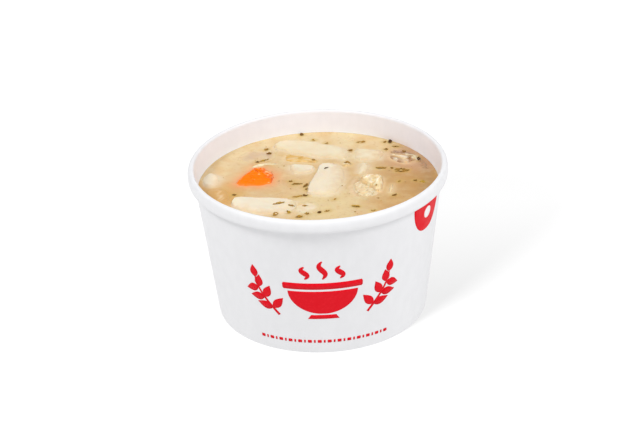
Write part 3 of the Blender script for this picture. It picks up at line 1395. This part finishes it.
SUNK = (
    SunkLook("sunk_dark_meat", CHICKEN,
             ((-32, 25), (-28, 20.5), (-23, 21.8), (-18, 21.2), (-15, 26), (-17, 32), (-21, 31), (-26, 33)),
             -0.3, 0.5, 0.2, 0.3, 0.55),
    SunkLook("sunk_pale_curl", CHICKEN, ((-26, 18), (-21, 20.6), (-14.5, 19.8), (-14.8, 17.8), (-20, 18.4), (-25, 15.6)),
             0.1, 0.15, 0.1, strands=0.5, fade=0.5 * MM),
    SunkLook("sunk_tan_meat", CHICKEN, ((-42.5, 0), (-41.5, -8), (-38, -13), (-33, -11), (-34, -4), (-36, 0)),
             1.0, 0.75, 1.0, 0.3),
    SunkLook("sunk_noodle_end", NOODLE, ((-10, -15), (-9.5, -24), (-3, -25), (1.5, -19), (-2, -13)), 0.0, 0.4),
    SunkLook("sunk_noodle_bit", NOODLE, ((10.0, 37.5), (14, 36.2), (15.5, 38.4), (11.5, 39.8)), 0.0, 0.35),
    SunkLook("sunk_red_meat", CHICKEN,
             ((28, 27), (29, 22.8), (36, 20.5), (40.5, 15), (40, 9), (42.5, 8), (42.5, 14), (38, 23), (33, 28)),
             -0.6, 0.15, 0.7, 0.3, 0.85, 1.2, 0.9 * MM),
    SunkLook("sunk_curl_of_meat", CHICKEN,
             ((32.5, 23.2), (36, 23), (39.6, 19), (39.6, 16.6), (36.5, 17.6), (33.5, 20.4)),
             -0.7, 0.0, 0.1, 0.0, 0.0, 2.6, 0.3 * MM, 0.5 * MM),
    SunkLook("sunk_meat_between", CHICKEN,
             ((13.4, 1.6), (17, 2), (22, -4.8), (23, -9.6), (19.8, -12.4), (14.6, -11.6), (12.0, -5.0)),
             1.1, 0.1, 0.3, 0.1, 0.0, 1.2, 0.5 * MM, 0.3 * MM),
    SunkLook("sunk_pale_meat", CHICKEN, ((9, -4), (12, 4), (16, 9), (15, -13), (21, -17), (12, -14)),
             0.5, 0.55, 0.2, 0.6),
)


@dataclass
class SunkPieces:
    """Meat and noodle ends that show faintly just under the surface."""

    cell: float = 0.25 * MM
    depth: float = 1.0 * MM

    def blank(self, look: SunkLook) -> bpy.types.Mesh:
        """Make a low mound over the outline."""
        corners = [Vector(corner) * MM for corner in look.outline]
        middle = sum(corners, Vector((0, 0))) / len(corners)
        points = []
        for here, there in zip(corners, corners[1:] + corners[:1]):
            points += [here.lerp(there, 0.25), here.lerp(there, 0.75)]
        rings = [(1.0, -self.depth), (1.0, -0.2 * MM), (0.92, 0.0), (0.7, look.proud)]
        verts, faces, count = [], [], len(points)
        for share, height in rings:
            verts += [(*middle.lerp(point, share), BROTH_LEVEL + height) for point in points]
        for ring in range(len(rings) - 1):
            for step in range(count):
                near, far = ring * count + step, ring * count + (step + 1) % count
                faces.append((near, far, far + count, near + count))
        faces += [tuple(reversed(range(count))), tuple(range(len(verts) - count, len(verts)))]
        return mesh_of(look.name, verts, faces)

    def build(self, wardrobe: Wardrobe) -> list[bpy.types.Object]:
        """Shape, paint and show each sunk piece."""
        shown, strands = [], []
        tree = strand_tree()
        for index, look in enumerate(SUNK):
            mesh = evened(self.blank(look), self.cell, 4)
            places, facing = positions(mesh), normals(mesh)
            seed = 200 + 10 * index
            side = 1 - np.abs(facing[:, 2])
            edge = relief(places, (3 * MM,) * 3, seed) * 0.9 * MM + relief(places, (1.2 * MM,) * 3, seed + 1) * 0.4 * MM
            places += facing * (edge * side)[:, None]
            turned = places @ np.array(Matrix.Rotation(look.grain, 3, "Z"))
            furrow = relief(turned, (4 * MM, 1.1 * MM, 1.1 * MM), seed + 2)
            top = places[:, 2] > BROTH_LEVEL - 0.3 * MM
            swell = broth_height(places) - BROTH_LEVEL + furrow * 0.05 * MM
            places[top, 2] += swell[top]
            move_to(mesh, places)
            far, _outward_way = rim_of(places, facing)
            wander = relief(places, (2.2 * MM,) * 3, seed + 3)
            film = np.exp(-((far / look.fade) ** 2)) + look.cover * (1 + wander)
            paint(mesh, "film", np.clip(film, 0, 1))
            paint(mesh, "soft", np.ones(len(places)))
            paint(mesh, "gap", smooth_step(-furrow, -0.1, 0.5) * look.gap)
            for label in ("pink", "dark", "grain"):
                paint(mesh, label, np.full(len(places), getattr(look, label)))
            if look.strands:
                strands.append(fibres(tree, mesh, look.strands, BROTH_LEVEL, seed, wardrobe))
            shown.append(wardrobe.show(look.name, mesh, look.finish))
        shown.append(wardrobe.show("sunk_fibres", joined_meshes("sunk_fibres", strands), CHICKEN))
        return shown


# -------------------------------------------------------------------- broth
@dataclass
class Broth:
    """The broth: a solid body whose surface climbs the wall and every piece in it."""

    columns: int = 236
    bite: float = 0.12 * MM
    climb_reach: float = 0.8 * MM
    piece_climb: float = 0.1 * MM
    halo_most: float = 7 * MM

    def plan(self) -> np.ndarray:
        """Return a square grid of places, bent to fill the disc inside the wall."""
        line = np.linspace(-1, 1, self.columns)
        x, y = np.meshgrid(line, line, indexing="ij")
        radius = wall_radius(BROTH_LEVEL + MENISCUS) - WALL_BOARD + self.bite
        across = x * np.sqrt(1 - y * y / 2)
        along = y * np.sqrt(1 - x * x / 2)
        return np.stack([across, along, np.zeros_like(across)], -1).reshape(-1, 3) * radius

    def surface(self, places: np.ndarray) -> np.ndarray:
        """Return the surface's height at each place, with its swell, fine waves and climb at the wall."""
        edge = wall_radius(BROTH_LEVEL) - WALL_BOARD
        inward = edge - np.hypot(places[:, 0], places[:, 1])
        climb = MENISCUS * np.exp(-np.clip(inward, 0, None) / self.climb_reach)
        fine = relief(places, (5 * MM,) * 3, 60) * 0.05 * MM + relief(places, (1.8 * MM,) * 3, 61) * 0.015 * MM
        return broth_height(places) + climb + fine

    def halo(self, places: np.ndarray, pieces: list[bpy.types.Object], width: float,
             spread: float) -> tuple[np.ndarray, np.ndarray]:
        """Measure how strongly some pieces show through the broth round them.

        Args:
            places: the places on the surface.
            pieces: the pieces, with "film" and "soft" painted on them.
            width: how far the crispest edge shows.
            spread: how much farther the softest edge shows.

        Returns:
            The strength at each place from 0 to 1, and the distance to the nearest piece.
        """
        strength, nearest = np.zeros(len(places)), np.full(len(places), self.halo_most)
        for piece in pieces:
            mesh = piece.data
            tree = BVHTree.FromPolygons([v.co for v in mesh.vertices], [p.vertices for p in mesh.polygons])
            corner = [polygon.vertices[0] for polygon in mesh.polygons]
            film, soft = mesh.attributes["film"].data, mesh.attributes["soft"].data
            spots = positions(mesh)[:, :2]
            low, high = spots.min(0) - self.halo_most, spots.max(0) + self.halo_most
            inside = np.all((places[:, :2] > low) & (places[:, :2] < high), axis=1)
            for index in np.flatnonzero(inside):
                _place, _normal, face, far = tree.find_nearest(Vector(places[index]), self.halo_most)
                if face is None:
                    continue
                vertex = corner[face]
                reach = width + spread * soft[vertex].value
                shown = (1 - film[vertex].value) * math.exp(-((far / reach) ** 1.4))
                strength[index] = max(strength[index], shown)
                nearest[index] = min(nearest[index], far)
        return strength, nearest

    def build(self, wardrobe: Wardrobe, noodles: list, meats: list, carrot: bpy.types.Object,
              stains: np.ndarray) -> bpy.types.Object:
        """Make the body, raise it round the pieces and paint what shows through it.

        Args:
            wardrobe: dresses it.
            noodles: the noodles in it.
            meats: the chicken in it.
            carrot: the carrot in it.
            stains: the places of the herbs, which stain it.
        """
        top = self.plan()
        top[:, 2] = self.surface(top)
        noodle, to_noodle = self.halo(top, noodles, 0.12 * MM, 1.7 * MM)
        meat, to_meat = self.halo(top, meats, 0.9 * MM, 1.3 * MM)
        orange, to_carrot = self.halo(top, [carrot], 0.9 * MM, 2.0 * MM)
        nearest = np.minimum(np.minimum(to_noodle, to_meat), to_carrot)
        top[:, 2] += self.piece_climb * np.exp(-nearest / (0.4 * MM))
        herbs = KDTree(len(stains))
        for index, stain in enumerate(stains):
            herbs.insert((*stain, 0), index)
        herbs.balance()
        to_herb = np.array([herbs.find((x, y, 0))[2] for x, y, _z in top])
        halos = {
            "near_noodle": noodle,
            "near_chicken": meat,
            "near_carrot": orange,
            "near_herb": 0.6 * np.exp(-((to_herb / (1.4 * MM)) ** 2)),
        }
        count, total = self.columns, len(top)
        index = np.arange(total).reshape(count, count)
        faces = np.stack([index[:-1, :-1], index[1:, :-1], index[1:, 1:], index[:-1, 1:]], -1).reshape(-1, 4).tolist()
        loop = [*index[:-1, 0], *index[-1, :-1], *index[:0:-1, -1], *index[0, :0:-1]]
        bottom = BASE_TOP + 0.1 * MM
        points = top.tolist()
        rows = [loop]
        for height in (BROTH_LEVEL - 0.6 * MM, BROTH_LEVEL / 2, bottom):
            radius = wall_radius(height) - WALL_BOARD - (0.0 if height > bottom else 0.4 * MM)
            start = len(points)
            for place in loop:
                flat = Vector(top[place][:2]).normalized() * radius
                points.append((flat.x, flat.y, height))
            rows.append(list(range(start, len(points))))
        for upper, lower in zip(rows, rows[1:]):
            for step in range(len(loop)):
                after = (step + 1) % len(loop)
                faces.append((int(upper[step]), int(lower[step]), int(lower[after]), int(upper[after])))
        points.append((0.0, 0.0, bottom))
        for step in range(len(loop)):
            faces.append((rows[-1][step], len(points) - 1, rows[-1][(step + 1) % len(loop)]))
        mesh = mesh_of("golden_broth", points, faces)
        for label, values in halos.items():
            paint(mesh, label, np.concatenate([values, np.zeros(len(points) - total)]))
        return wardrobe.show("golden_broth", mesh, BROTH, "soup")


# -------------------------------------------------------------------- herbs
@dataclass(frozen=True)
class Flake:
    """One herb flake: its place in the plan, length, width and heading, and its tone from green to black."""

    x: float
    y: float
    length: float
    width: float
    heading: float = 0.0
    tone: float = 0.6


FLAKES = (
    Flake(-5.7, 44.1, 1.7, 1.0, 30, 0.8), Flake(-1.0, 39.1, 1.4, 0.8, 0, 0.3), Flake(4.0, 35.6, 1.3, 0.6, 20, 0.6),
    Flake(17.3, 35.6, 3.4, 1.1, 5, 0.45), Flake(13.1, 28.4, 1.6, 1.3, -30, 0.6), Flake(26.9, 28.0, 1.5, 1.1, 60, 0.7),
    Flake(28.7, 34.2, 1.6, 1.6, 20, 1.0), Flake(26.7, 34.6, 1.4, 1.0, 0, 0.6), Flake(30.8, 30.2, 2.6, 0.8, -15, 0.6),
    Flake(33.8, 25.2, 1.6, 1.5, 50, 0.7), Flake(39.1, 17.6, 1.3, 1.1, 70, 1.0), Flake(35.3, 17.6, 1.4, 1.0, 0, 0.5),
    Flake(-19.7, 32.1, 2.2, 0.9, 35, 0.5), Flake(-18.5, 28.1, 1.9, 1.3, 10, 0.75),
    Flake(-23.0, 21.2, 1.7, 0.9, 10, 0.85), Flake(-20.4, 22.4, 3.4, 0.6, 18, 0.3),
    Flake(-1.4, 20.0, 1.4, 1.1, 0, 0.6), Flake(3.3, 11.9, 2.1, 0.8, 38, 0.95), Flake(11.4, 16.4, 2.8, 1.3, -22, 0.5),
    Flake(24.1, 11.8, 4.2, 1.1, -6, 0.5), Flake(28.3, 11.4, 1.3, 0.7, 0, 0.6), Flake(30.6, 10.2, 3.0, 0.8, 12, 0.55),
    Flake(33.4, 9.6, 3.4, 0.9, -22, 0.6), Flake(32.6, 8.2, 3.8, 0.8, 8, 0.5), Flake(30.2, 8.6, 2.0, 0.7, 30, 0.4),
    Flake(-10.4, 3.6, 1.7, 0.7, -10, 0.7), Flake(-8.2, 0.9, 4.1, 0.7, 4, 0.65), Flake(-4.9, -0.8, 3.2, 0.8, 62, 0.7),
    Flake(-4.6, -3.6, 1.3, 0.8, 80, 0.6), Flake(-5.0, -9.2, 1.9, 1.0, 10, 0.8), Flake(-8.0, -9.6, 4.4, 0.6, 6, 0.4),
    Flake(-31.7, -6.2, 1.6, 0.8, -15, 0.75), Flake(-15.0, -16.2, 4.8, 0.9, 14, 0.3),
    Flake(-10.4, -18.2, 2.6, 0.9, -12, 0.5), Flake(-5.4, -17.4, 2.4, 0.8, 12, 0.5),
    Flake(-11.3, -22.4, 1.5, 1.4, 60, 0.25), Flake(-16.2, -23.6, 2.2, 1.2, 35, 0.4),
    Flake(-7.5, -26.2, 2.6, 1.2, 10, 0.35), Flake(0.0, -23.2, 1.5, 1.1, 35, 0.9), Flake(2.9, -22.3, 2.2, 0.7, 25, 0.5),
    Flake(-4.7, -23.9, 1.9, 0.7, -10, 0.4), Flake(13.5, -19.3, 3.6, 1.1, -20, 0.3),
    Flake(28.1, -11.6, 1.8, 0.8, 20, 0.75), Flake(36.6, 0.1, 1.7, 1.1, -25, 0.7), Flake(30.6, -0.1, 0.9, 0.7, 60, 0.4),
    Flake(21.8, -5.4, 0.8, 0.5, 0, 0.5), Flake(19.8, -23.4, 1.7, 0.5, 0, 0.4), Flake(5.8, -12.9, 0.9, 0.5, 30, 0.35),
    Flake(39.2, -1.2, 2.4, 1.0, -20, 0.2), Flake(38.6, 19.2, 1.8, 0.9, 80, 0.35),
)


@dataclass
class Herbs:
    """Dried herbs: the flakes that stand out, and fine specks scattered between them, draped over the food."""

    specks: int = 60
    seed: int = 5
    lift: float = 0.03 * MM
    widening: float = 1.3

    def plan(self) -> np.ndarray:
        """Return the places of the flakes in the plan, with a few along each long one."""
        found = []
        for flake in FLAKES:
            along = Vector((math.cos(math.radians(flake.heading)), math.sin(math.radians(flake.heading))))
            for share in (-0.3, 0.0, 0.3):
                found.append(tuple((Vector((flake.x, flake.y)) + along * flake.length * share) * MM))
        return np.array(found)

    def settled(self, trees: list[BVHTree], x: float, y: float) -> float:
        """Return the height of the highest food surface at a place in the plan."""
        hits = [tree.ray_cast(Vector((x, y, CUP_HEIGHT)), Vector((0, 0, -1)))[0] for tree in trees]
        return max(BROTH_LEVEL, *(hit.z for hit in hits if hit is not None))

    def spots(self, flakes: list[Flake]) -> bpy.types.Mesh:
        """Lay a point for each flake at height 0, with its size, angles and tone."""
        chance = np.random.default_rng(self.seed)
        places, turns, sizes = [], [], []
        for flake in flakes:
            turns.append((chance.uniform(-0.15, 0.15), 0.0, math.radians(flake.heading)))
            places.append((flake.x * MM, flake.y * MM, 0.0))
            cupping = chance.uniform(0.25, 0.6) * flake.width
            sizes.append((flake.length * MM, flake.width * self.widening * MM, cupping * MM))
        mesh = mesh_of("spots", places, [])
        for label, rows in (("turn", turns), ("size", sizes)):
            layer = mesh.attributes.new(label, "FLOAT_VECTOR", "POINT")
            layer.data.foreach_set("vector", np.array(rows, np.float32).ravel())
        paint(mesh, "tone", np.array([flake.tone for flake in flakes]))
        return mesh

    def scattered(self) -> list[Flake]:
        """Draw the fine specks, denser towards the right and the back."""
        chance = np.random.default_rng(self.seed + 1)
        found = []
        while len(found) < self.specks:
            x, y = chance.uniform(-44, 44, 2)
            kept = chance.uniform() < 0.35 + 0.3 * (x + y) / 88 + 0.2
            if kept and math.hypot(x, y) < 43.5:
                length = chance.uniform(0.25, 0.75)
                found.append(Flake(x, y, length, length * chance.uniform(0.4, 0.9), chance.uniform(0, 180),
                                   chance.uniform(0.15, 0.7)))
        return found

    def build(self, wardrobe: Wardrobe, food: list[bpy.types.Object]) -> None:
        """Lay the flakes and the specks on the food."""
        trees = [
            BVHTree.FromPolygons([v.co for v in piece.data.vertices], [p.vertices for p in piece.data.polygons])
            for piece in food
        ]
        tree = flake_tree()
        low = BROTH_LEVEL + 0.3 * MM
        specks = [speck for speck in self.scattered() if self.settled(trees, speck.x * MM, speck.y * MM) < low]
        kinds = (("herb_flakes", list(FLAKES), 0.07 * MM, 1.5 * MM), ("herb_specks", specks, 0.04 * MM, 0.2 * MM))
        for name, flakes, thickness, ragged in kinds:
            mesh = grown(
                tree, self.spots(flakes), thickness=thickness, raggedness=ragged, tear_size=0.45 * MM,
                finish=wardrobe.material(HERB),
            )
            places = positions(mesh)
            places[:, 2] += np.array([self.settled(trees, x, y) for x, y, _z in places]) + self.lift
            move_to(mesh, places)
            wardrobe.show(name, mesh, HERB)


# -------------------------------------------------------------------- stage
@dataclass(frozen=True)
class Lamp:
    """A soft square lamp: where it hangs, how strong and how wide it is."""

    name: str
    heading: float
    height: float
    distance: float
    energy: float
    size: float


LAMPS = (
    Lamp("key left", -58.0, 52.0, 1.2, 6.2, 0.35),
    Lamp("key right", 60.0, 45.0, 1.2, 6.3, 0.5),
)


@dataclass
class Studio:
    """The pale floor, the soft light and the camera."""

    lens: float = 127.5
    sensor: float = 36.0
    aim: tuple[float, float, float] = (-1.612, 0.091, 34.906)
    distance: float = 850.0
    elevation: float = 27.396
    roll: float = -2.32
    sky_above: float = 0.545
    sky_below: float = 0.95
    sky_tilt: float = 0.15
    floor_glow: float = 0.755
    floor_clearing: float = 0.155
    clearing_reach: float = 80 * MM
    floor_tone: float = 0.16
    window_energy: float = 11.0
    window_heading: float = 42.0
    window_height: float = 26.0
    window_width: float = 20.0

    def camera(self) -> None:
        """Place the camera in front of the cup, looking down on it."""
        rise, roll = math.radians(self.elevation), math.radians(self.roll)
        ahead = Vector((0, math.cos(rise), -math.sin(rise)))
        right, up = Vector((1, 0, 0)), Vector((0, math.sin(rise), math.cos(rise)))
        across = right * math.cos(roll) + up * math.sin(roll)
        upward = up * math.cos(roll) - right * math.sin(roll)
        data = bpy.data.cameras.new("camera")
        data.lens = self.lens
        data.sensor_width = self.sensor
        data.sensor_fit = "HORIZONTAL"
        data.clip_start, data.clip_end = 0.05, 100
        camera = bpy.data.objects.new("camera", data)
        bpy.context.scene.collection.objects.link(camera)
        turn = Matrix((across, upward, -ahead)).transposed().to_4x4()
        camera.matrix_world = Matrix.Translation((Vector(self.aim) - ahead * self.distance) * MM) @ turn
        bpy.context.scene.camera = camera

    def floor(self) -> bpy.types.Object:
        """Lay the floor: pale and lit from within like a light table, a little more towards the back."""
        size = 6.0
        corners = [(-size, -size), (size, -size), (size, size), (-size, size)]
        piece = linked("floor", mesh_of("floor", [(x, y, -0.1 * MM) for x, y in corners], [(0, 1, 2, 3)]))
        made = bpy.data.materials.new("light table")
        made.use_nodes = True
        shader = made.node_tree.nodes["Principled BSDF"]
        tone = self.floor_tone
        shader.inputs["Base Color"].default_value = (tone, tone, tone, 1)
        shader.inputs["Roughness"].default_value = 1.0
        shader.inputs["Specular IOR Level"].default_value = 0.0
        shader.inputs["Emission Color"].default_value = (1, 1, 1, 1)
        g = Graph(made.node_tree)
        back = g.parts(g.coords())[1]
        inputs = {"Value": back, "From Min": self.clearing_reach, "From Max": 0.0, "To Min": 0.0, "To Max": 1.0}
        left = g.math("POWER", g.add("ShaderNodeMapRange", inputs).outputs[0], 1.3)
        glow = g.math("SUBTRACT", self.floor_glow + self.floor_clearing, g.math("MULTIPLY", left, self.floor_clearing))
        g.tree.links.new(glow, shader.inputs["Emission Strength"])
        piece.data.materials.append(made)
        piece.visible_diffuse = False
        piece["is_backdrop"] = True
        return piece

    def sky(self) -> bpy.types.World:
        """Make the white room, which shines a little differently from above, from below and from behind."""
        world = bpy.data.worlds.new("soft white room")
        world.use_nodes = True
        g = Graph(world.node_tree)
        _across, back, height = g.parts(g.add("ShaderNodeTexCoord").outputs["Generated"])
        background = world.node_tree.nodes["Background"]
        background.inputs["Color"].default_value = (1, 1, 1, 1)
        strength = g.ranged(height, -0.2, 0.2, self.sky_below, self.sky_above)
        tilt = g.math("SUBTRACT", 1.0, g.math("MULTIPLY", back, self.sky_tilt))
        g.tree.links.new(g.math("MULTIPLY", strength, tilt), background.inputs["Strength"])
        return world

    def hang(self, data: bpy.types.Light, heading: float, height: float, distance: float,
             lit: bpy.types.Collection) -> None:
        """Hang a lamp on a compass heading, 0 in front and 90 to the right, aimed at the cup.

        Args:
            data: the lamp.
            heading: its compass heading in degrees.
            height: its angle above the floor in degrees.
            distance: how far from the cup it hangs.
            lit: the collection that it lights.
        """
        lamp = bpy.data.objects.new(data.name, data)
        bpy.context.scene.collection.objects.link(lamp)
        turn, rise = math.radians(heading), math.radians(height)
        away = Vector((math.sin(turn) * math.cos(rise), -math.cos(turn) * math.cos(rise), math.sin(rise)))
        lamp.location = Vector((0, 0, BROTH_LEVEL)) + away * distance
        lamp.rotation_euler = (-away).to_track_quat("-Z", "Y").to_euler()
        lamp.light_linking.receiver_collection = lit

    def build(self, dish_pieces: list[bpy.types.Object]) -> None:
        """Set the sky, floor, lamps and camera."""
        scene = bpy.context.scene
        scene.view_settings.view_transform = "Standard"
        scene.world = self.sky()
        table = bpy.data.collections.new("table")
        dish = bpy.data.collections.new("dish")
        table.objects.link(self.floor())
        for piece in dish_pieces:
            dish.objects.link(piece)
        window = bpy.data.lights.new("window", "SUN")
        window.energy = self.window_energy
        window.angle = math.radians(self.window_width)
        self.hang(window, -self.window_heading, self.window_height, 1.0, table)
        for lamp in LAMPS:
            data = bpy.data.lights.new(lamp.name, "AREA")
            data.energy = lamp.energy
            data.size = lamp.size
            self.hang(data, lamp.heading, lamp.height, lamp.distance, dish)
        self.camera()


def main() -> None:
    """Build the cup, its print, the food, the broth and the herbs, then set the stage."""
    logging.basicConfig(level=logging.INFO, format="%(message)s")
    wardrobe = Wardrobe()
    PaperCup().build(wardrobe)
    WallPrint().build(wardrobe)
    noodles = Noodles().build(wardrobe)
    carrot = Carrot().build(wardrobe)
    meats = Chicken().build(wardrobe)
    sunk = SunkPieces().build(wardrobe)
    herbs = Herbs()
    broth = Broth().build(wardrobe, noodles, meats, carrot, herbs.plan())
    herbs.build(wardrobe, [*noodles, carrot, *meats, *sunk, broth])
    shown = [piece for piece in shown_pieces()]
    Studio().build(shown)


if __name__ == "__main__":
    main()
